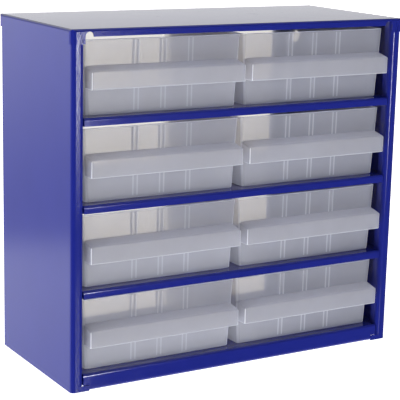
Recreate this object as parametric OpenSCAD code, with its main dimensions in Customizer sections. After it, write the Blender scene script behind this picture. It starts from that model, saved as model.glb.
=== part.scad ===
// Steel parts cabinet with pull-out plastic bins, in two columns and four rows.
// Millimetres. +Z is up, the bins open towards -Y, and +X is to the right.
// The origin is under the middle of the cabinet, on the surface that it stands on.

/* [Shell] */
// Width over the lid's side flanges
body_w = 308; // [240:1:400]
// Depth from the lid's front lip to its rear flange
body_d = 138; // [110:1:200]
// Thickness of the steel sheet
sheet = 1; // [0.8:0.1:1.4]
// Outside radius of the folds in the side panels
fold_r = 3.4; // [2.4:0.2:4]
// Outside radius of the folds along the shelves, the base and the lid
lip_r = 2.2; // [1.6:0.2:3]
// Gap left between two sheets where one laps over the other
lap_gap = 0.1; // [0.05:0.05:0.3]
// Side gap between a shelf's front lip and the posts beside it
lip_gap = 0.3; // [0.2:0.1:0.6]

/* [Side panels] */
// Width of a front post, from the panel's outer face to the post's inner edge
post_w = 10.4; // [8:0.1:14]
// Depth of the return behind a front post
post_return = 9; // [6:0.5:14]
// Width of the rear flange that stops the bins
rear_flange_w = 40; // [24:1:60]
// Diameter of the wall-fixing hole in the rear flange
wall_hole_d = 10; // [5:0.5:12]
// Wall-fixing hole's centre, in from the panel's outer face
wall_hole_inset = 14.5; // [10:0.5:18]
// Wall-fixing hole's centre, down from the top of the cabinet
wall_hole_drop = 28; // [20:0.2:40]
// Width of the foot tab under each post
foot_tab_w = 5.2; // [3:0.2:8]
// Height of the foot tab under each post
foot_tab_h = 4.4; // [3:0.2:6]

/* [Lid] */
// Height of the lid's front lip
lid_lip_h = 5.8; // [5:0.1:9]
// Height of the lid's side and rear flanges
lid_flange_h = 10; // [8:0.5:12]
// Height of the corner ears that wrap round the front posts
ear_h = 11.2; // [9:0.2:16]
// Length of a corner ear along the side
ear_side = 16; // [10:1:30]
// Width of a corner ear across the front
ear_front = 11.6; // [10:0.2:14]
// Width of the arched relief beside each corner ear
arch_w = 7; // [5:0.5:10]
// Sheet left above the arched relief
arch_roof = 1.9; // [1.4:0.1:3]
// Depth of the pressed triangle in each corner ear
press_depth = 0.45; // [0.2:0.05:0.6]

/* [Shelves and base] */
// Height of the base's front lip, up to the lowest shelf surface
base_h = 13.7; // [10:0.1:24]
// Height of a shelf's front lip
shelf_lip_h = 6.3; // [5:0.1:12]
// Clear height between a shelf and the lip above it
bay_h = 60.9; // [50:0.1:90]
// Height of the down-turned flanges at a shelf's ends and rear
shelf_flange_h = 7; // [5:0.5:12]
// Set-back of the shelf lips behind the posts' faces
lip_setback = 0.5; // [0:0.1:2]
// Depth of the inward fold under the base
base_return = 10; // [6:0.5:16]
// Depth of the weld tabs turned back from the ends of the shelf and base lips
weld_tab = 7; // [5:0.5:8]

/* [Bins] */
// Gap between the two columns of bins at their rims
column_gap = 2; // [1.2:0.1:4]
// Gap between a bin's rim and the post beside it
post_gap = 2.5; // [0.4:0.1:4]
// Gap between a bin and the shelf under it
slide_gap = 0.3; // [0.2:0.05:0.6]
// Gap between a closed bin and the rear flanges
rear_gap = 1.5; // [0.8:0.1:4]
// Height of a bin, from its underside to its rim
bin_h = 57.4; // [46:0.2:58]
// Bin front, set back from the lid's front plane
bin_recess = 10; // [8:0.5:18]
// Thickness of the bin's walls
bin_wall = 1.6; // [1.2:0.1:2.2]
// Thickness of the bin's floor
bin_floor = 1.8; // [1.2:0.1:3]
// Radius of the bin's upright corners
bin_corner_r = 3; // [2.4:0.2:5]
// How much each side of a bin draws in from rim to floor
side_draft = 3.4; // [1:0.1:4]
// How much the bin's front and rear draw in from rim to floor
end_draft = 1; // [0.6:0.1:4]
// Bevel along the bin's lower edge
bin_bevel = 1.6; // [0.6:0.1:2]
// Spacing between the divider slots, side to side
slot_pitch = 23.6; // [16:0.2:30]
// Clear width of a divider slot
slot_w = 2.5; // [1.6:0.1:3]
// Width of each rib beside a divider slot
rib_w = 1.2; // [0.8:0.1:1.6]
// How far the ribs stand off the wall
rib_out = 1.8; // [1:0.1:2.4]
// Ribs' upper ends, below the rim
rib_drop = 1.2; // [0.6:0.2:6]
// Height of the stop lugs above the rim
lug_h = 4.4; // [3.8:0.1:5]
// Length of a stop lug, front to back
lug_len = 10; // [6:0.5:16]
// Stop lug, in from the bin's rear face
lug_from_rear = 10; // [6:0.5:20]

/* [Grips] */
// How far the grips stand out in front of the lid's front plane
grip_proud = 2; // [0:0.2:6]
// Grip's lower edge, above the bin's underside
grip_z = 21; // [14:0.5:24]
// Height of the grip's front plate
grip_h = 14; // [10:0.5:18]
// How much the grip's top rises towards the bin
grip_rise = 3; // [1:0.2:5]
// Wall of the grip
grip_wall = 1.6; // [1.2:0.1:2.2]
// Grip's end, in from the bin's rim
grip_inset = 2; // [1.6:0.1:8]
// Radius of the grip's top corners
grip_r = 2.4; // [1.6:0.2:3]

/* [Hidden] */
$fn = 48;
hull_sides = 32;
over = 1;               // how far a cutter runs past what it cuts
slice = 0.2;            // thickness of the slices that a bin's form spans
bite = 0.4;             // how far a rib runs into its wall, and the grip stops short of the inside
lug_root = 3;           // how far a stop lug's foot is sunk in the rim
rows = 4;
steel = [0.14, 0.14, 0.52];
milky = [0.80, 0.82, 0.85, 0.7];

// Heights
row_pitch = bay_h + shelf_lip_h;
body_h = base_h + rows * bay_h + (rows - 1) * shelf_lip_h + lid_lip_h;

// Planes of the shell, from the front to the rear
front_y = (grip_proud - body_d) / 2;
rear_y = front_y + body_d;
lap = sheet + lap_gap;
post_y = front_y + lap;
panel_rear_y = rear_y - lap;
flange_y = panel_rear_y - sheet;
lip_y = post_y + lip_setback;

// The side panels end below the lid's folds, whose inside radius they would foul
panel_top = body_h - lip_r;

// Planes of the shell, from the middle to the side
panel_x = body_w / 2 - lap;
wall_x = panel_x - sheet;
opening_x = panel_x - post_w;
lip_x = opening_x - lip_gap;

// Bin
bin_w = opening_x - post_gap - column_gap / 2;
bin_front_y = front_y + bin_recess;
bin_d = flange_y - rear_gap - bin_front_y;
bin_x = (opening_x - post_gap + column_gap / 2) / 2;
grip_d = bin_recess + grip_proud;
rib_pitch = slot_w + rib_w;

function unit(v) = v / norm(v);

// One straight run of sheet between two points of its centre line.
module run(a, b) {
    d = b - a;
    translate(a) rotate(atan2(d[1], d[0])) translate([0, -sheet / 2]) square([norm(d), sheet]);
}

// A right-angled fold at a corner of the centre line, of centre-line radius r.
module fold(corner, d1, d2, r) {
    centre = corner - d1 * r + d2 * r;
    reach = r + sheet;
    intersection() {
        translate(centre) difference() {
            circle(r + sheet / 2);
            circle(r - sheet / 2);
        }
        translate(centre + (d1 - d2) * reach / 2) square(reach, center = true);
    }
}

// Section of a sheet folded at right angles along the points of its centre line.
module folded(points, r_out) {
    r = r_out - sheet / 2;
    last = len(points) - 1;
    for (i = [0 : last - 1]) {
        d = unit(points[i + 1] - points[i]);
        run(points[i] + (i > 0 ? d * r : [0, 0]), points[i + 1] - (i < last - 1 ? d * r : [0, 0]));
    }
    for (i = [1 : last - 1])
        fold(points[i], unit(points[i] - points[i - 1]), unit(points[i + 1] - points[i]), r);
}

// Extrude a section drawn in Y and Z along X, centred on the cabinet.
module along_x(width) {
    translate([-width / 2, 0, 0]) rotate([90, 0, 90]) linear_extrude(width) children();
}

// Extrude a section drawn in X and Z along Y, from y0 to y1.
module along_y(y0, y1) {
    translate([0, y1, 0]) rotate([90, 0, 0]) linear_extrude(y1 - y0) children();
}

// A box from its lowest to its highest corner.
module block(low, high) {
    translate(low) cube(high - low);
}

// Rectangle with round corners, centred on X, from y0 to y1.
module round_plan(w, y0, y1, r) {
    translate([-w / 2 + r, y0]) square([w - 2 * r, y1 - y0]);
    translate([-w / 2, y0 + r]) square([w, y1 - y0 - 2 * r]);
    for (x = [-w / 2 + r, w / 2 - r], y = [y0 + r, y1 - r]) translate([x, y]) circle(r);
}

// Rectangle whose two top corners are round, from x0 to x1 and from z0 to z1.
module round_top(x0, x1, z0, z1, r) {
    translate([x0, z0]) square([x1 - x0, z1 - r - z0]);
    translate([x0 + r, z0]) square([x1 - x0 - 2 * r, z1 - z0]);
    for (x = [x0 + r, x1 - r]) translate([x, z1 - r]) circle(r);
}

// Side panel on the right: post with its return, wall and rear flange, folded from one sheet.
module side_panel() {
    half = sheet / 2;
    hole_x = panel_x - wall_hole_inset;
    section = [
        [opening_x + half, post_y + post_return], [opening_x + half, post_y + half],
        [panel_x - half, post_y + half], [panel_x - half, panel_rear_y - half],
        [panel_x - rear_flange_w, panel_rear_y - half]
    ];
    difference() {
        linear_extrude(panel_top) folded(section, fold_r);
        translate([hole_x, panel_rear_y + over, body_h - wall_hole_drop])
            rotate([90, 0, 0]) cylinder(d = wall_hole_d, h = sheet + 2 * over);
        block([opening_x - over, post_y - over, -over],
              [opening_x + fold_r, post_y + post_return + over, foot_tab_h + lip_gap]);
    }
    block([opening_x - foot_tab_w, post_y, 0],
          [opening_x + fold_r + over, post_y + sheet, foot_tab_h]);
}

module right_side() {
    color(steel) side_panel();
}

module left_side() {
    color(steel) mirror([1, 0, 0]) side_panel();
}

// Outer form of the lid, or its hollow when inset by the sheet.
module lid_form(inset) {
    plan_r = fold_r + lap - inset;
    top_r = lip_r - inset;
    w = body_w - 2 * inset;
    y0 = front_y + inset;
    y1 = rear_y - inset;
    z0 = body_h - ear_h - inset;
    z1 = body_h - inset;
    intersection() {
        translate([0, 0, z0]) linear_extrude(z1 - z0) round_plan(w, y0, y1, plan_r);
        along_y(y0, y1) round_top(-w / 2, w / 2, z0, z1, top_r);
        along_x(w) round_top(y0, y1, z0, z1, top_r);
    }
}

// Lid: a shallow tray, turned over, with corner ears lapped over the posts.
module lid() {
    ear_x = body_w / 2 - ear_front;
    arch_x = ear_x - arch_w / 2;
    arch_z = body_h - arch_roof - arch_w / 2;
    under = body_h - ear_h - over;
    cut_y = front_y + fold_r + lap;
    press_x = (ear_x + body_w / 2 - fold_r) / 2;
    press_w = (ear_front - fold_r) / 2;
    color(steel) difference() {
        lid_form(0);
        lid_form(sheet);
        block([-ear_x, front_y - over, under], [ear_x, cut_y, body_h - lid_lip_h]);
        block([-body_w, front_y + ear_side, under], [body_w, rear_y + over, body_h - lid_flange_h]);
        for (side = [0, 1]) mirror([side, 0, 0]) {
            translate([arch_x, cut_y, arch_z]) rotate([90, 0, 0])
                cylinder(d = arch_w, h = cut_y - front_y + over);
            block([arch_x - arch_w / 2, front_y - over, under], [ear_x, cut_y, arch_z]);
            translate([press_x, front_y + press_depth, body_h - ear_h + sheet])
                rotate([90, 0, 0]) linear_extrude(over)
                    polygon([[-press_w / 2, 0], [press_w / 2, 0], [0, ear_h - sheet - lip_r]]);
        }
    }
}

// Shelf with its surface at z: front lip, and flanges turned down at the ends and the rear.
// The lip runs between the posts, with a tab turned back at each end to be welded to a return,
// and the ends are cut back to pass behind the returns.
module shelf_sheet(z, lip_h, flange_h, turn_in) {
    half = sheet / 2;
    front = lip_y + half;
    rear = flange_y - half;
    low = z - lip_h;
    lip = turn_in > 0
        ? [[front, low + half], [front + turn_in - half, low + half]]
        : [[front, low]];
    wing_y0 = post_y + post_return + lip_gap;
    wing_y1 = flange_y - fold_r;
    along_x(2 * lip_x)
        folded(concat([[rear, z - flange_h], [rear, z - half], [front, z - half]], lip), lip_r);
    along_y(wing_y0, wing_y1)
        folded([[-wall_x + half, z - flange_h], [-wall_x + half, z - half],
                [wall_x - half, z - half], [wall_x - half, z - flange_h]], lip_r);
    for (side = [0, 1]) mirror([side, 0, 0])
        block([lip_x - sheet, front, low], [lip_x, lip_y + weld_tab, z - sheet]);
}

module shelf(level) {
    color(steel) shelf_sheet(base_h + level * row_pitch, shelf_lip_h, shelf_flange_h, 0);
}

// Base: a deeper shelf that stands on its own folds, notched for the posts' foot tabs.
module base() {
    notch_x = opening_x - foot_tab_w - lip_gap;
    color(steel) difference() {
        shelf_sheet(base_h, base_h, base_h, base_return);
        for (side = [0, 1]) mirror([side, 0, 0])
            block([notch_x, post_y, -over],
                  [panel_x, lip_y + base_return + over, foot_tab_h + lip_gap]);
    }
}

// Slice of a bin's plan at height z, drawn in from the rim by dx at the sides and dy at the ends.
module bin_slice(z, dx, dy, r) {
    translate([0, 0, z]) linear_extrude(slice, $fn = hull_sides)
        round_plan(bin_w - 2 * dx, dy, bin_d - dy, r);
}

// Solid form of a bin. Inset by a wall, it is the hollow.
module bin_form(inset, floor_z, rim_z) {
    fall = 1 - floor_z / bin_h;
    r = bin_corner_r - inset / 2;
    hull() {
        bin_slice(floor_z, side_draft * fall + inset + bin_bevel,
                  end_draft * fall + inset + bin_bevel, r);
        bin_slice(floor_z + bin_bevel, side_draft * fall + inset, end_draft * fall + inset, r);
        bin_slice(rim_z, inset, inset, r);
    }
}

// How far the outside of a bin's front wall lies behind its rim at height z.
function front_lean(z) = end_draft * (1 - z / bin_h);

// Two ribs beside each divider slot, on the inside of the bin's front wall.
module slot_ribs() {
    root = bin_wall - bite;
    tip = bin_wall + rib_out;
    foot = bin_floor - bite;
    top = bin_h - rib_drop;
    for (slot = [-1, 0, 1], edge = [-1, 1])
        translate([slot * slot_pitch + edge * rib_pitch / 2 - rib_w / 2, 0, 0])
            rotate([90, 0, 90]) linear_extrude(rib_w)
                polygon([[front_lean(foot) + root, foot], [front_lean(foot) + tip, foot],
                         [front_lean(top) + tip, top], [front_lean(top) + root, top]]);
}

// Grip: a hollow ledge across the bin's front, open below for the fingers.
module grip() {
    w = bin_w - 2 * grip_inset;
    depth = bin_wall - bite;
    top = grip_z + grip_h;
    crest = top + grip_rise;
    low_root = front_lean(grip_z) + depth;
    high_root = front_lean(crest) + depth;
    difference() {
        intersection() {
            along_x(w)
                polygon([[-grip_d, grip_z], [low_root, grip_z], [high_root, crest], [0, crest],
                         [-grip_d + grip_r, top], [-grip_d, top - grip_r / 2]]);
            along_y(-grip_d - over, low_root + over)
                round_top(-w / 2, w / 2, grip_z - over, crest, grip_r);
        }
        along_x(w - 2 * grip_wall)
            polygon([[-grip_d + grip_wall, grip_z - over], [low_root + over, grip_z - over],
                     [low_root + over, crest - grip_wall], [0, crest - grip_wall],
                     [-grip_d + grip_wall, top - grip_wall]]);
    }
}

// One bin: drafted tray, divider slots in front, grip, and stop lugs on the rim.
module bin() {
    lug_y = bin_d - lug_from_rear;
    lug_x = bin_w / 2 - side_draft * lug_root / bin_h;
    difference() {
        bin_form(0, 0, bin_h - slice);
        bin_form(bin_wall, bin_floor, bin_h + over);
    }
    slot_ribs();
    grip();
    for (side = [0, 1]) mirror([side, 0, 0])
        block([bin_w / 2 - bin_wall, lug_y - lug_len, bin_h - lug_root],
              [lug_x, lug_y, bin_h + lug_h]);
}

// Place a bin by its row, counted from the top, and its column, -1 left or 1 right.
module placed_bin(row, column) {
    z = base_h + (rows - row) * row_pitch + slide_gap;
    color(milky) translate([column * bin_x, bin_front_y, z]) bin();
}

left_side();
right_side();
lid();
base();
shelf(3);  // shelf_1
shelf(2);  // shelf_2
shelf(1);  // shelf_3
placed_bin(1, -1);  // bin_row1_left
placed_bin(1, 1);  // bin_row1_right
placed_bin(2, -1);  // bin_row2_left
placed_bin(2, 1);  // bin_row2_right
placed_bin(3, -1);  // bin_row3_left
placed_bin(3, 1);  // bin_row3_right
placed_bin(4, -1);  // bin_row4_left
placed_bin(4, 1);  // bin_row4_right
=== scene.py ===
"""Steel parts cabinet with milky plastic pull-out bins: materials, mouldings, light and camera.

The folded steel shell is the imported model's own, in a stove-enamelled finish. Each bin is a finer
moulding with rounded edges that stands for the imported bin, at its place and size.
"""

import bmesh
import bpy
import numpy as np
from mathutils import Matrix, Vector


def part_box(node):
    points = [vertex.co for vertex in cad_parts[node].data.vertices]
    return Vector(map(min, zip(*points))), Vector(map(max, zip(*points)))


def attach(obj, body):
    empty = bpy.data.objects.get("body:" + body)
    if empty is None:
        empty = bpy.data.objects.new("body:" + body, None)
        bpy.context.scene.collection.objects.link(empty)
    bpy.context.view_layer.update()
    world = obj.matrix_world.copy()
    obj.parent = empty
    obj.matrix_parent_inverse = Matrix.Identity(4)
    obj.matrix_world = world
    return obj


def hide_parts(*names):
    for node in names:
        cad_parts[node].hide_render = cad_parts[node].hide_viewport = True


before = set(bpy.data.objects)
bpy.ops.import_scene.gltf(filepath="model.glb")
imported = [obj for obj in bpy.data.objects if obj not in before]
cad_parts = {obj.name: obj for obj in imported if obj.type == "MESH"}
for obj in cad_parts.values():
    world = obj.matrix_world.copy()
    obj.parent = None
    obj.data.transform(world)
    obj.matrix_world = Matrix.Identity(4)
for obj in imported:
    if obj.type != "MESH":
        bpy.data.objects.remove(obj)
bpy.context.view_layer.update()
MM = 0.001

# Sizes of the bin moulding, in millimetres
WALL = 1.6
FLOOR = 1.8
CORNER_R = 3.0
LEAST_CORNER_R = 0.8  # of the tray's corners, however far in from the outside
SIDE_DRAFT = 3.4  # how much further in the foot is than the rim, at each side
END_DRAFT = 1.0  # the same, at the front and the rear
FOOT_R = 1.0
FLOOR_FILLET = 1.4
RIM_R = 0.55
LUG_H = 4.4
LUG_LEN = 10.0
LUG_FROM_REAR = 10.0
LUG_ROOT = 3.0  # how deep a stop lug is sunk in the wall
LUG_R = 0.4
SLOT_PITCH = 23.6
RIB_PITCH = 3.7  # between the two ribs of one divider slot
RIB_W = 1.2
RIB_OUT = 1.8
RIB_DROP = 1.2  # from the rim down to a rib's top
RIB_R = 0.35
LEAST_BAR_R = 0.02
BITE = 0.4  # how deep a part of the moulding is sunk in the next
GRIP_D = 12.0
GRIP_Z = 21.0
GRIP_H = 14.0
GRIP_RISE = 3.0  # of the grip's top, from its front edge to the bin
GRIP_WALL = 1.6
GRIP_INSET = 2.0  # from the rim's end to the grip's, at each side
GRIP_EDGE_R = 1.4
GRIP_INNER_R = 0.5
GRIP_CROWN_R = 0.1  # corner radius where the edge round meets the top
GRIP_LIP_R = GRIP_WALL / 2 - 0.1  # round of the lower edge, with a narrow flat left between
GRIP_SHOULDER_R = 3.2
GRIP_ROOT_IN = 14.0  # how far the top's faces draw in towards the wall, at each end
SHOULDER_TURN = 0.96  # under 1, so that a shoulder's end doesn't fall straight down
HOLD = 0.35  # spacing of the edge loops that keep a flat face flat beside a round
# Faces along a quarter round
CORNER_STEPS, FOOT_STEPS, RIM_STEPS, FILLET_STEPS, BAR_STEPS, GRIP_STEPS = 8, 6, 5, 6, 4, 6
LIP_STEPS = 8  # along the half round of the grip's lower edge
GRIP_COLUMNS = 23  # points along the grip's front

# Where the bins stand in the cabinet, in millimetres
FIRST_ROW = 14.0
ROW_PITCH = 67.2
BIN_X = 70.5
BIN_HALF = 69.5
BIN_FRONT = -58.0
GRIP_END = 67.5
RIM_Z = 57.4

# Milky plastic: the share of the light on one face that it scatters, and what adds to that. A
# wall has two faces, so what passes straight through it is the rest multiplied by itself.
SCATTER = 0.41
SCATTER_FLOW = 0.05
SCATTER_SLANT = 0.4
SCATTER_EDGE = 0.55
SCATTER_RIB = 0.18
THROUGH_SHARE = 0.45  # of the scattered light, how much leaves on the far side
# Its painted glow: emission on the plastic in place of light that is scattered many times inside,
# painting highlights on the edges and light on the ribs and low in a bin
PAINTED_GLOW_EDGE = 0.14
PAINTED_GLOW_RIB = 0.04
PAINTED_GLOW_LOW = 0.06
PAINTED_GLOW_LOW_ROWS = 0.10  # painted glow, added in the lowest row and less with height, up to the height given next
PAINTED_GLOW_TOP = 260
PAINTED_SHADE_RIGHT = 0.8  # painted shade: how much of the painted glow is taken away towards the cabinet's right end
# How strongly each edge mark on the moulding shows, where a grip's front corners are 1. A mark is
# partly the plastic scattering more at a round edge and partly a painted highlight; the ribs' mark
# shows less in the left column
LIP_MARK_AND_HIGHLIGHT, RIM_MARK_AND_HIGHLIGHT, UPRIGHT_MARK_AND_HIGHLIGHT, RIBS_LEFT_MARK_AND_HIGHLIGHT = 0.3, 0.6, 0.35, 0.6

# Enamel's roughness, and what its clouds and rubbed patches add
ENAMEL_ROUGH, ENAMEL_CLOUD, ENAMEL_RUBBED = 0.07, 0.025, 0.04

# Strength of the studio's light
SEEN_LEVEL = 1.15  # plain white for the camera
PLAIN_LEVEL = 0.13  # in front and at the sides
SWEEP_LEVEL = 1.42  # behind, at eye level
ABOVE_LEVEL = 0.9
BELOW_LEVEL = 1.0
BELOW_LEFT_LEVEL = 7.5
BOX_LEVEL = 28.0
BOX_FOOT_LEVEL = 6.5

# Colours
ENAMEL_DEEP = (0.007, 0.013, 0.195, 1)
ENAMEL_BRIGHT = (0.010, 0.017, 0.225, 1)
MILK_DULL = (0.575, 0.595, 0.69, 1)
MILK = (0.685, 0.715, 0.85, 1)
# whiter plastic of the edges and ribs, partly a painted highlight
MILK_EDGE_AND_HIGHLIGHT = (0.95, 0.96, 0.98, 1)
MILK_THROUGH = (0.69, 0.725, 0.86, 1)
MILK_CLEAR = (1.0, 0.965, 0.885, 1)
# colour of the plastic's painted glow
PAINTED_GLOW_COLOUR = (0.92, 0.95, 1.0, 1)
BLACK = (0, 0, 0, 1)
WHITE = (1, 1, 1, 1)
SWEEP_WHITE = (0.9, 0.9, 0.9, 1)
SWEEP_GLOW = ((1.06, 1.06, 1.06, 1), (1.08, 1.08, 1.08, 1))


def arc(start, stop, steps):
    """Angles from start to stop degrees, in radians, both ends included."""
    return np.radians(np.linspace(start, stop, steps + 1))


def mesh_piece(name, shells, material, body):
    """One object made of closed shells. Each shell is an array of rings (ring, point, 3) in
    millimetres: neighbouring rings are joined by quads, and the first and last ring are filled."""
    points, faces, base = [], [], 0
    for rings in shells:
        rows, cols, _ = rings.shape
        index = base + np.arange(rows * cols).reshape(rows, cols)
        ahead = np.roll(index, -1, axis=1)
        quads = np.stack([index[:-1], ahead[:-1], ahead[1:], index[1:]], axis=-1)
        faces += quads.reshape(-1, 4).tolist() + [index[0][::-1].tolist(), index[-1].tolist()]
        points.append(rings.reshape(-1, 3))
        base += rows * cols
    mesh = bpy.data.meshes.new(name)
    mesh.from_pydata(np.concatenate(points) * MM, [], faces)
    edit = bmesh.new()
    edit.from_mesh(mesh)
    bmesh.ops.remove_doubles(edit, verts=edit.verts, dist=1e-6)
    bmesh.ops.recalc_face_normals(edit, faces=edit.faces)
    edit.to_mesh(mesh)
    edit.free()
    mesh.shade_smooth()
    mesh.materials.append(material)
    piece = bpy.data.objects.new(name, mesh)
    bpy.context.scene.collection.objects.link(piece)
    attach(piece, body)
    return piece


def held(low, high):
    """A straight run from low to high with a middle point and an extra point just inside each
    end."""
    step = HOLD * np.sign(high - low)
    return np.array([low, low + step, (low + high) / 2, high - step, high])


def round_plan(half_w, y0, y1, r):
    """Rounded rectangle, counter-clockwise: a quarter circle of radius r about each corner's
    centre, and straight sides between them with a middle point and an extra point just inside
    each end."""
    centres = [(half_w - r, y0 + r), (half_w - r, y1 - r),
               (r - half_w, y1 - r), (r - half_w, y0 + r)]
    corners = []
    for quarter, (cx, cy) in enumerate(centres):
        a = arc(quarter * 90 - 90, quarter * 90, CORNER_STEPS)
        corners.append(np.stack([cx + r * np.cos(a), cy + r * np.sin(a)], axis=1))
    out = []
    for here, after in zip(corners, corners[1:] + corners[:1]):
        a, b = here[-1], after[0]
        way = (b - a) / np.linalg.norm(b - a)
        out += [here, [a + way * HOLD], [(a + b) / 2], [b - way * HOLD]]
    return np.concatenate(out)


def tray(w, d, h):
    """Drafted tray: the plan outline drawn in by draft * (1 - z/h) from the rim down, carried up
    the outside, over a round rim, and down the inside to a filleted floor."""
    foot = arc(-90, 0, FOOT_STEPS)
    rim_out = arc(0, 90, RIM_STEPS)
    rim_in = arc(90, 180, RIM_STEPS)
    fillet = arc(0, -90, FILLET_STEPS)
    span_out = held(FOOT_R, h - RIM_R)
    span_in = held(h - RIM_R, FLOOR + FLOOR_FILLET)
    # inset from the outer face, and height, along the section; both undersides get a ring well
    # inside the last one, so that the filled middle stays flat
    inset = np.concatenate([
        [FOOT_R + 4 * HOLD, FOOT_R + HOLD], FOOT_R * (1 - np.cos(foot)), 0 * span_out[1:-1],
        RIM_R * (1 - np.cos(rim_out)), WALL - RIM_R * (1 + np.cos(rim_in)),
        0 * span_in[1:-1] + WALL, WALL + FLOOR_FILLET * (1 - np.cos(fillet)),
        [WALL + FLOOR_FILLET + HOLD, WALL + FLOOR_FILLET + 4 * HOLD]])
    height = np.concatenate([
        [0, 0], FOOT_R * (1 + np.sin(foot)), span_out[1:-1],
        h - RIM_R * (1 - np.sin(rim_out)), h - RIM_R * (1 - np.sin(rim_in)),
        span_in[1:-1], FLOOR + FLOOR_FILLET * (1 + np.sin(fillet)), [FLOOR, FLOOR]])
    rings = []
    for inn, z in zip(inset, height):
        fall = 1 - z / h
        side, end = SIDE_DRAFT * fall + inn, END_DRAFT * fall + inn
        plan = round_plan(w / 2 - side, end, d - end, max(CORNER_R - inn / 2, LEAST_CORNER_R))
        rings.append(np.column_stack([plan, np.full(len(plan), z)]))
    return np.array(rings)


def lean(z, h):
    """How far the outside of a bin's front wall lies behind its rim at height z."""
    return END_DRAFT * (1 - z / h)


def bar(x0, x1, y0, y1, z0, z1, r, drift=None):
    """Upright bar with round edges: a rounded rectangle carried from z0 up to z1, where it draws
    in by a quarter circle of radius r. drift gives how far y has moved at a height."""
    turn = arc(0, 90, BAR_STEPS)
    inset = np.concatenate([[0, 0], r * (1 - np.cos(turn))])
    height = np.concatenate([[z0, z1 - r - HOLD], z1 - r * (1 - np.sin(turn))])
    rings = []
    for inn, z in zip(inset, height):
        plan = round_plan((x1 - x0) / 2 - inn, y0 + inn, y1 - inn, max(r - inn, LEAST_BAR_R))
        plan = plan + [(x0 + x1) / 2, drift(z) if drift else 0]
        rings.append(np.column_stack([plan, np.full(len(plan), z)]))
    return np.array(rings)


def grip(w, h):
    """Hollow ledge across the bin's front, open below. The section at each point of a U-shaped
    outline runs from the inner top down the inside, round the lower edge, up the outside, over a
    round shoulder and back along the top to the wall; the outline's ends lie in the bin's wall."""
    top = GRIP_Z + GRIP_H
    root = lean(top + GRIP_RISE, h) + WALL - BITE
    half = w / 2 - GRIP_INSET

    def outline(inset, r):
        """U-shaped plan, drawn in by inset, with its front corners of radius r."""
        x, y = half - inset, inset - GRIP_D
        sides = held(root, y + r)[:-1]
        a, b = arc(180, 270, GRIP_STEPS), arc(270, 360, GRIP_STEPS)
        front = np.linspace(r - x + HOLD, x - r - HOLD, GRIP_COLUMNS)
        left = np.column_stack([np.full(len(sides), -x), sides])
        round_l = np.column_stack([r - x + r * np.cos(a), y + r + r * np.sin(a)])
        flat = np.column_stack([front, np.full(len(front), y)])
        round_r = np.column_stack([x - r + r * np.cos(b), y + r + r * np.sin(b)])
        right = left[::-1] * [-1, 1]
        return np.concatenate([left, round_l, flat, round_r, right])

    def roof(plan):
        """Height of the grip's top: it rises towards the bin, and at each shoulder falls by
        r * (1 - sqrt(1 - past squared)), past going from 0 to 1 over the shoulder's width r."""
        x, y = plan.T
        rise = GRIP_RISE * np.clip((y + GRIP_D) / GRIP_D, 0, 1)
        past = np.clip((np.abs(x) - (half - GRIP_SHOULDER_R)) / GRIP_SHOULDER_R, 0, 1)
        return top + rise - GRIP_SHOULDER_R * (1 - np.sqrt(1 - past ** 2 * SHOULDER_TURN))

    def to_wall(plan, share):
        """The outline drawn towards a line along the wall."""
        on_wall = np.column_stack([plan[:, 0] * (1 - GRIP_ROOT_IN / half),
                                   np.full(len(plan), root)])
        return plan + (on_wall - plan) * share

    close = HOLD / GRIP_H * 2
    up = [0.0, close, 0.3, 0.6, 1 - close, 1.0]
    back = [0.0, 0.04, 0.3, 0.6, 0.97, 1.0]
    rows = []
    inner, outer = outline(GRIP_WALL, GRIP_INNER_R), outline(0, GRIP_EDGE_R)
    crown = outline(GRIP_EDGE_R, GRIP_CROWN_R)
    low, shoulder = GRIP_Z + GRIP_LIP_R, roof(crown)
    inner_top = roof(inner) - GRIP_WALL
    for share in back[::-1]:
        plan = to_wall(inner, share)
        rows.append([plan, roof(plan) - GRIP_WALL])
    for share in up[::-1][1:]:
        rows.append([inner, low + (inner_top - low) * share])
    for a in arc(0, 180, LIP_STEPS)[1:-1]:
        inset = (GRIP_WALL - GRIP_LIP_R * (1 - np.cos(a)) if a <= np.pi / 2
                 else GRIP_LIP_R * (1 + np.cos(a)))
        r = GRIP_EDGE_R + (GRIP_INNER_R - GRIP_EDGE_R) * inset / GRIP_WALL
        rows.append([outline(inset, r), np.full(len(inner), low - GRIP_LIP_R * np.sin(a))])
    for share in up:
        rows.append([outer, low + (shoulder - GRIP_EDGE_R - low) * share])
    for a in arc(0, 90, GRIP_STEPS)[1:]:
        turned = 1 - np.cos(a)
        plan = outline(GRIP_EDGE_R * turned, GRIP_EDGE_R - (GRIP_EDGE_R - GRIP_CROWN_R) * turned)
        rows.append([plan, shoulder - GRIP_EDGE_R * (1 - np.sin(a))])
    for share in back[1:]:
        plan = to_wall(crown, share)
        rows.append([plan, roof(plan)])
    return np.stack([np.column_stack(row) for row in rows], axis=1)


def mirrored(shell):
    """The shell on the bin's other side; its faces are turned outwards when it is made."""
    return shell * [-1, 1, 1]


def bin_shells(w, d, h):
    """All the closed shells of one bin, with its rim's front at y = 0 and its underside at 0."""
    shells = [tray(w, d, h), grip(w, h)]
    for slot in (-1, 0, 1):
        for edge in (-1, 1):
            x = slot * SLOT_PITCH + edge * RIB_PITCH / 2
            shells.append(bar(x - RIB_W / 2, x + RIB_W / 2, WALL - BITE, WALL + RIB_OUT,
                              FLOOR - BITE, h - RIB_DROP, RIB_R, lambda z: lean(z, h)))
    lug_y = d - LUG_FROM_REAR
    lug = bar(w / 2 - WALL, w / 2 - SIDE_DRAFT * LUG_ROOT / h, lug_y - LUG_LEN, lug_y,
              h - LUG_ROOT, h + LUG_H, LUG_R)
    return shells + [lug, mirrored(lug)]


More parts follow.
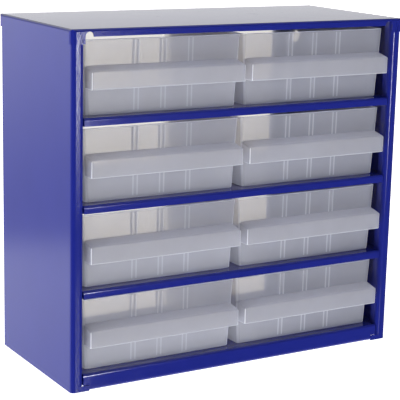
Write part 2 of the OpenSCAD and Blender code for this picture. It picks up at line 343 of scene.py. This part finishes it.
class Signal:
    """A node's output. Arithmetic on it adds Math nodes, and node() adds any other node."""

    def __init__(self, tree, socket=None):
        self.tree, self.socket = tree, socket

    def node(self, kind, settings=(), out=0, **inputs):
        """Adds a node: first its settings, then the values or links of its inputs. An input is
        named in lower case with _ for a space, or i0, i1 and so on for a socket's number."""
        made = self.tree.nodes.new(kind)
        for name, value in dict(settings).items():
            setattr(made, name, value)
        names = {s.name.lower().replace(" ", "_"): s for s in reversed(made.inputs)}
        for name, value in inputs.items():
            numbered = name[0] == "i" and name[1:].isdigit()
            socket = made.inputs[int(name[1:])] if numbered else names[name]
            if isinstance(value, Signal):
                self.tree.links.new(value.socket, socket)
            else:
                socket.default_value = value
        return Signal(self.tree, made.outputs[out])

    def parts(self):
        """The three parts of a vector."""
        apart = self.node("ShaderNodeSeparateXYZ", vector=self)
        return [Signal(self.tree, output) for output in apart.socket.node.outputs]

    def math(self, operation, *values):
        """A Math node with this operation on these values."""
        numbered = {f"i{n}": value for n, value in enumerate(values)}
        return self.node("ShaderNodeMath", {"operation": operation}, **numbered)

    def capped(self):
        """The same, but 1 at most."""
        return self.math("MINIMUM", self, 1.0)

    def rise(self, low, high):
        """0 below low, 1 above high, and a smooth step between them."""
        return self.node("ShaderNodeMapRange", {"interpolation_type": "SMOOTHSTEP"},
                         value=self, from_min=low, from_max=high)

    def fall(self, low, high):
        """1 below low, 0 above high, and a smooth step between them."""
        return 1 - self.rise(low, high)

    def __add__(self, other):
        return self.math("ADD", self, other)

    def __sub__(self, other):
        return self.math("SUBTRACT", self, other)

    def __rsub__(self, other):
        return self.math("SUBTRACT", other, self)

    def __mul__(self, other):
        return self.math("MULTIPLY", self, other)

    def __mod__(self, pitch):
        return self.math("MODULO", self, pitch)

    def __neg__(self):
        return self * -1

    def __abs__(self):
        return self.math("ABSOLUTE", self)

    __radd__, __rmul__ = __add__, __mul__


def finish_material(name, build):
    """A node material whose surface is what build(graph) returns."""
    material = bpy.data.materials.new(name)
    material.use_nodes = True
    tree = material.node_tree
    tree.nodes.clear()
    surface = build(Signal(tree))
    output = tree.nodes.new("ShaderNodeOutputMaterial")
    tree.links.new(surface.socket, output.inputs["Surface"])
    return material


def colour_mix(graph, amount, a, b):
    """Colour between a, at amount 0, and b, at amount 1."""
    return graph.node("ShaderNodeMix", {"data_type": "RGBA"}, i0=amount, i6=a, i7=b, out=2)


def noise(graph, place, scale, detail=2.0, roughness=0.5):
    """Clouds between 0 and 1, about 1 / scale metres across."""
    return graph.node("ShaderNodeTexNoise", vector=place, scale=scale, detail=detail,
                      roughness=roughness)


def blue_enamel(graph):
    """Stove enamel: orange-peel ripple, cloudy colour from the spraying, and patches rubbed a
    little duller."""
    place = graph.node("ShaderNodeTexCoord", out=3)
    cloud = noise(graph, place, scale=26.0, detail=3.0)
    peel = noise(graph, place, scale=520.0)
    rubbed = noise(graph, place, scale=90.0, detail=4.0, roughness=0.65).rise(0.58, 0.72)
    bump = graph.node("ShaderNodeBump", strength=0.05, distance=0.0004, height=peel)
    return graph.node("ShaderNodeBsdfPrincipled", ior=1.5, normal=bump,
                      base_color=colour_mix(graph, cloud, ENAMEL_DEEP, ENAMEL_BRIGHT),
                      roughness=ENAMEL_ROUGH + cloud * ENAMEL_CLOUD + rubbed * ENAMEL_RUBBED)


def milky_plastic(graph):
    """Milky polypropylene: light that passes straight through a face is warmed, and what the
    plastic scatters is cool. A wall seen at a slant and the moulding's edges scatter more, and
    flow marks vary it. A painted glow, emission in place of light scattered many times inside,
    brightens the edges as a painted highlight, the ribs, and the wall low in the bin."""
    place = graph.node("ShaderNodeTexCoord", out=3)
    spot = BinSpot(place)
    edge, ribs, low = spot.edges(), spot.ribs(), spot.low()
    flow = noise(graph, place, scale=38.0, detail=3.0, roughness=0.6)
    grain = noise(graph, place, scale=900.0, detail=1.0)
    slant = graph.node("ShaderNodeLayerWeight", blend=0.5, out=1)
    tone = colour_mix(graph, 0.5 + flow * 0.5 - spot.on_grip * 0.5, MILK_DULL, MILK)
    # Painted light: the plastic's emission glow, a painted highlight along the edges and painted
    # light on the ribs and low in the bin
    painted_glow = colour_mix(graph, low + ribs * PAINTED_GLOW_RIB + edge * PAINTED_GLOW_EDGE, BLACK, PAINTED_GLOW_COLOUR)
    bump = graph.node("ShaderNodeBump", strength=0.04, distance=0.0003, height=grain)
    # The edges and ribs are whitened, partly for the thicker plastic and partly as a painted
    # highlight
    front = graph.node("ShaderNodeBsdfPrincipled", roughness=0.2, ior=1.5, normal=bump,
                       base_color=colour_mix(graph, edge + ribs * 0.35, tone, MILK_EDGE_AND_HIGHLIGHT),
                       emission_color=painted_glow, emission_strength=1.0)
    through = graph.node("ShaderNodeBsdfTranslucent", color=MILK_THROUGH)
    scattered = graph.node("ShaderNodeMixShader", i0=THROUGH_SHARE, i1=front, i2=through)
    clear = graph.node("ShaderNodeBsdfTransparent", color=MILK_CLEAR)
    share = (SCATTER + flow * SCATTER_FLOW + slant * slant * SCATTER_SLANT
             + edge * SCATTER_EDGE + ribs * SCATTER_RIB)
    return graph.node("ShaderNodeMixShader", i0=share.capped(), i1=clear, i2=scattered)


class BinSpot:
    """Where a point lies in its own bin. The rows repeat in height, and the two columns mirror
    each other about the middle of the cabinet. Each measure is in millimetres."""

    def __init__(self, place):
        self.x, y, self.z = (part * (1 / MM) for part in place.parts())
        self.height = (self.z - FIRST_ROW) % ROW_PITCH
        fall = 1 - self.height * (1 / RIM_Z)
        self.across = abs(abs(self.x) - BIN_X)
        self.ahead = BIN_FRONT - y
        self.from_side = BIN_HALF - fall * SIDE_DRAFT - self.across
        self.from_front = y - BIN_FRONT - fall * END_DRAFT
        self.on_grip = self.ahead.rise(-0.1, 0.1)

    def edges(self):
        """Edge marks: 1 along a grip's front corners, less on its lower edge, the rim and the
        tray's front corners. They are partly the thicker plastic of a round edge and partly a
        painted highlight."""
        corner = (self.across.rise(GRIP_END - 0.9, GRIP_END - 0.5)
                  * self.ahead.rise(GRIP_D - 0.9, GRIP_D - 0.5))
        low = self.height.fall(GRIP_Z + 0.6, GRIP_Z + 0.9) * self.on_grip
        rim = self.height.rise(RIM_Z - 0.7, RIM_Z - 0.4)
        upright = (self.from_side.fall(1.2, 2.4) * self.from_front.fall(1.2, 2.4)
                   * (1 - self.on_grip))
        return (corner + low * LIP_MARK_AND_HIGHLIGHT + rim * RIM_MARK_AND_HIGHLIGHT + upright * UPRIGHT_MARK_AND_HIGHLIGHT).capped()

    def ribs(self):
        """1 on the divider slots' ribs and on the front wall where they are joined to it, and less
        in the left column. The mark is partly the extra plastic of a rib and partly a painted
        highlight and painted glow. A rib's distance from the bin's middle, folded by the slots'
        pitch, is half a slot's width."""
        off_slot = abs((self.across + SLOT_PITCH / 2) % SLOT_PITCH - SLOT_PITCH / 2)
        off_rib = abs(off_slot - RIB_PITCH / 2)
        line = off_rib.fall(0.5, 0.7) * self.across.fall(30, 32)
        depth = (self.from_front.rise(-0.3, -0.2)
                 * self.from_front.fall(WALL + RIB_OUT + 0.2, WALL + RIB_OUT + 0.4))
        span = (self.height.rise(FLOOR + 0.2, FLOOR + 0.6)
                * self.height.fall(RIM_Z - 1.4, RIM_Z - 1.0))
        # the ribs' mark, with its painted highlight and glow, is weaker in the left column
        column = RIBS_LEFT_MARK_AND_HIGHLIGHT + self.x.rise(-10, 10) * (1 - RIBS_LEFT_MARK_AND_HIGHLIGHT)
        return line * depth * span * column

    def low(self):
        """Painted light: how strongly the wall below the grip glows, more in the lower rows and to
        the left, and with painted shade taking it away towards the right.
        """
        below = self.height.fall(GRIP_Z - 8, GRIP_Z + 10) * (1 - self.on_grip)
        in_row = PAINTED_GLOW_LOW + self.z.fall(0, PAINTED_GLOW_TOP) * PAINTED_GLOW_LOW_ROWS
        return below * in_row * (1 - self.x.rise(-20, 120) * PAINTED_SHADE_RIGHT)


def floor_finish(graph):
    """Matt white sweep. Its own glow keeps it white in the picture, whatever light falls on it."""
    place = graph.node("ShaderNodeTexCoord", out=3)
    return graph.node("ShaderNodeBsdfPrincipled", base_color=SWEEP_WHITE, roughness=1.0,
                      specular_ior_level=0.0, emission_strength=1.0,
                      emission_color=colour_mix(graph, noise(graph, place, scale=3.0), *SWEEP_GLOW))


def studio():
    """Soft studio light, as the strength of the light that comes from each direction x, y, z.
    Behind stands a bright sweep: it dims above eye level and below it, and is bright again where
    it meets the ground and high up. There is a narrow softbox in front, with a weaker foot below
    it, a soft light from straight above, and light from the floor, which is strong on the left.
    Little comes from in front otherwise. The camera itself sees plain white. The two numbers of
    a rise or fall are where the light changes along that direction, from 0 at right angles to it
    to 1 straight ahead."""
    world = bpy.data.worlds.new("studio")
    bpy.context.scene.world = world
    world.use_nodes = True
    world.node_tree.nodes.clear()
    graph = Signal(world.node_tree)
    x, y, z = graph.node("ShaderNodeTexCoord", out=0).parts()
    down, leftward, frontward = -z, -x, -y

    higher = z.rise(0.02, 0.15) * 0.8 + z.rise(0.0, 0.05) * x.rise(0.3, 0.68) * 0.21
    lower = down.rise(0.05, 0.235) * 0.8
    ground = down.rise(0.24, 0.262) * (0.62 - down.rise(0.27, 0.36) * 0.3)
    sweep = SWEEP_LEVEL - higher - lower + ground + z.rise(0.3, 0.4) * 0.4
    behind = y.rise(-0.2, 0.45)
    overhead = 1 - z.rise(0.5, 0.6) * 0.8
    around = (PLAIN_LEVEL + (sweep - PLAIN_LEVEL) * behind) * overhead

    above = z.rise(0.7, 0.9) * ABOVE_LEVEL
    below = down.rise(0.38, 0.5) * (BELOW_LEVEL + leftward.rise(0.4, 0.75) * BELOW_LEFT_LEVEL)

    right_edge, left_edge = x + y * 0.53, x + y * 0.34
    width = right_edge.fall(-0.062, -0.052) * left_edge.rise(-0.03, 0.03)
    height = z.rise(-0.235, -0.12) * z.fall(0.35, 0.5) * BOX_LEVEL
    foot = down.rise(0.26, 0.31) * down.fall(0.38, 0.44) * BOX_FOOT_LEVEL
    softbox = width * frontward.rise(0.2, 0.5) * (height + foot)

    seen = graph.node("ShaderNodeLightPath", out=0)
    strength = seen * SEEN_LEVEL + (1 - seen) * (around + above + below + softbox)
    shine = graph.node("ShaderNodeBackground", color=WHITE, strength=strength)
    output = world.node_tree.nodes.new("ShaderNodeOutputWorld")
    world.node_tree.links.new(shine.socket, output.inputs["Surface"])


def lay_floor(half=9.0):
    """A plain pale floor, seen by the camera only."""
    mesh = bpy.data.meshes.new("floor")
    mesh.from_pydata([(-half, -half, 0), (half, -half, 0), (half, half, 0), (-half, half, 0)], [],
                     [(0, 1, 2, 3)])
    mesh.materials.append(finish_material("white_sweep", floor_finish))
    floor = bpy.data.objects.new("floor", mesh)
    floor.visible_glossy = floor.visible_diffuse = floor.visible_shadow = False
    bpy.context.scene.collection.objects.link(floor)


def place_camera():
    """Camera at the photograph's viewing angle: turned by azimuth and elevation about the
    cabinet's middle, rolled, and moved across its own view."""
    azimuth, elevation, roll = np.radians([-30.80, 12.69, 1.32])
    middle = np.array([0.0, 0.0, 141.0])
    distance, leftward, downward = 1170.91, 1.13, 14.64
    back = np.array([np.sin(azimuth) * np.cos(elevation), -np.cos(azimuth) * np.cos(elevation),
                     np.sin(elevation)])
    right = np.cross(-back, [0, 0, 1])
    right /= np.linalg.norm(right)
    up = np.cross(right, -back)
    right, up = (np.cos(roll) * right + np.sin(roll) * up,
                 np.cos(roll) * up - np.sin(roll) * right)
    at = (middle + back * distance - right * leftward - up * downward) * MM
    lens = bpy.data.cameras.new("camera")
    lens.lens, lens.sensor_width = 124.12, 36.0
    lens.clip_start, lens.clip_end = 0.05, 50.0
    camera = bpy.data.objects.new("camera", lens)
    bpy.context.scene.collection.objects.link(camera)
    turn = np.column_stack([right, up, back, at])
    camera.matrix_world = Matrix([*turn.tolist(), [0, 0, 0, 1]])
    bpy.context.scene.camera = camera


place_camera()
studio()
lay_floor()

enamel = finish_material("blue_enamel", blue_enamel)
plastic = finish_material("milky_plastic", milky_plastic)
for name in ("left_side", "right_side", "lid", "base", "shelf_1", "shelf_2", "shelf_3"):
    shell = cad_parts[name]
    shell.data.materials.clear()
    shell.data.materials.append(enamel)

for name in sorted(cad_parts):
    if name.startswith("bin_"):
        low, high = (np.array(corner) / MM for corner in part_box(name))
        width, height = high[0] - low[0], high[2] - low[2] - LUG_H
        depth = high[1] - low[1] - GRIP_D
        place = np.array([(low[0] + high[0]) / 2, low[1] + GRIP_D, low[2]])
        shells = [shell + place for shell in bin_shells(width, depth, height)]
        piece = mesh_piece("moulded_" + name, shells, plastic, name)
        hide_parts(name)

scene = bpy.context.scene
scene.view_settings.view_transform = "Standard"
scene.cycles.transparent_max_bounces = 40  # several clear walls stand one behind another
